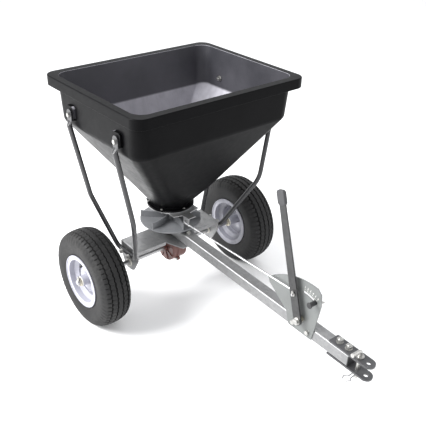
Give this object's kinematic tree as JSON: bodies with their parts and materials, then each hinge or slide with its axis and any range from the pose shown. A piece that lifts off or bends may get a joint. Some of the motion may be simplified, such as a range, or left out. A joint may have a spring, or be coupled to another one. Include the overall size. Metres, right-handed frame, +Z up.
{
  "type": "tow-behind broadcast spreader",
  "caption": "Towed garden spreader with a black tapered hopper, pneumatic wheels, geared impeller, flow lever on a quadrant and a pin hitch.",
  "frame": {"origin": "on the ground under the middle of the whole part's bounding box", "axes": "+Z up, -Y forward towards the hitch, +X to the right-hand wheel seen from above with the hitch at the bottom of the view"},
  "size_m": [0.755, 1.109, 0.794],
  "materials": {
    "black_poly": "moulded polyethylene, satin and slightly pebbled",
    "galvanised": "zinc plated, dull and faintly mottled",
    "zinc_steel": "bright zinc plated fasteners",
    "bright_steel": "turned and drawn bar, lightly oiled",
    "gear_steel": "greased cast gears",
    "gearbox_paint": "dark oxide red, satin",
    "rim_paint": "light silver grey enamel",
    "tyre_rubber": "black rubber, dull",
    "valve_rubber": "black rubber",
    "impeller_plastic": "grey moulded plastic",
    "nylon": "natural nylon",
    "black_trim": "soft black vinyl",
    "quadrant_paint": "grey paint, satin",
    "support_paint": "black enamel on bent steel tube",
    "hitch_steel": "near-black paint on steel strap"
  },
  "bodies": {
    "frame": {"hopper": "black_poly", "hopper_bolts": "zinc_steel", "hopper_nuts": "zinc_steel", "hopper_base_plate": "galvanised", "base_bushing": "nylon", "base_plate_screws": "zinc_steel", "gate_rails": "galvanised", "rail_rivets": "zinc_steel", "axle_carrier": "galvanised", "axle_bushings": "nylon", "drawbar": "galvanised", "drawbar_plugs": "black_trim", "drawbar_bolts": "zinc_steel", "frame_nuts": "zinc_steel", "left_hopper_support": "support_paint", "right_hopper_support": "support_paint", "support_bolts": "zinc_steel", "gearbox_housing_left": "gearbox_paint", "gearbox_housing_right": "gearbox_paint", "gearbox_screws": "zinc_steel", "gearbox_nuts": "zinc_steel", "shaft_bushing": "nylon", "control_quadrant": "quadrant_paint", "lever_pivot_bolt": "zinc_steel", "lever_spacer": "zinc_steel", "lever_pivot_nut": "zinc_steel", "stop_bolt": "zinc_steel", "hitch_straps": "hitch_steel", "hitch_bolts": "zinc_steel", "hitch_nuts": "zinc_steel"},
    "axle_set": {"axle": "bright_steel", "axle_washers": "zinc_steel", "axle_cotters": "zinc_steel", "crown_gear": "gear_steel", "crown_gear_pin": "bright_steel", "right_tyre": "tyre_rubber", "right_rim": "rim_paint", "right_wheel_disc": "rim_paint", "right_hub_bushings": "nylon", "right_valve_stem": "valve_rubber", "wheel_drive_pin": "zinc_steel"},
    "left_wheel": {"left_tyre": "tyre_rubber", "left_rim": "rim_paint", "left_wheel_disc": "rim_paint", "left_hub_bushings": "nylon", "left_valve_stem": "valve_rubber"},
    "impeller_set": {"impeller_shaft": "bright_steel", "pinion_gear": "gear_steel", "shaft_cross_pins": "bright_steel", "thrust_washer": "zinc_steel", "impeller": "impeller_plastic", "agitator": "bright_steel"},
    "gate": {"slide_gate": "galvanised"},
    "lever": {"flow_lever": "galvanised", "lever_grip": "black_trim"},
    "rod": {"flow_rod": "bright_steel", "rod_clips": "zinc_steel"},
    "wing_nut": {"stop_wing_nut": "zinc_steel"},
    "pin": {"hitch_pin": "bright_steel"},
    "clip": {"hitch_pin_clip": "bright_steel"}
  },
  "joints": [
    {"name": "axle_spin", "type": "hinge", "parent": "frame", "child": "axle_set", "pos_m": [0, 0.33455, 0.165], "axis": [1, 0, 0], "continuous": true},
    {"name": "left_wheel_spin", "type": "hinge", "parent": "frame", "child": "left_wheel", "pos_m": [-0.316, 0.33455, 0.165], "axis": [1, 0, 0], "continuous": true},
    {"name": "impeller_spin", "type": "hinge", "parent": "frame", "child": "impeller_set", "pos_m": [0, 0.33455, 0.277], "axis": [0, 0, 1], "continuous": true},
    {"name": "flow_lever_swing", "type": "hinge", "parent": "frame", "child": "lever", "pos_m": [-0.0375, -0.31017, 0.24822], "axis": [1, 0, 0], "range_deg": [0, 30]},
    {"name": "rod_pivot", "type": "hinge", "parent": "lever", "child": "rod", "pos_m": [-0.0375, -0.2873, 0.32904], "axis": [1, 0, 0], "range_deg": [-30, 0]},
    {"name": "gate_slide", "type": "slide", "parent": "frame", "child": "gate", "axis": [0, -1, 0], "range_m": [0, 0.0435]},
    {"name": "wing_nut_turn", "type": "hinge", "parent": "frame", "child": "wing_nut", "pos_m": [-0.019, -0.35243, 0.32994], "axis": [1, 0, 0], "continuous": true},
    {"name": "hitch_pin_lift", "type": "slide", "parent": "frame", "child": "pin", "axis": [0, -0.0479, 0.9989], "range_m": [0, 0.0135]},
    {"name": "clip_pull", "type": "slide", "parent": "pin", "child": "clip", "axis": [-1, 0, 0], "range_m": [0, 0.03]}
  ],
  "couplings": [
    {"joint": "impeller_spin", "follows": "axle_spin", "ratio": -3},
    {"joint": "rod_pivot", "follows": "flow_lever_swing", "ratio": -1},
    {"joint": "gate_slide", "follows": "flow_lever_swing", "m_per_rad": 0.083}
  ]
}
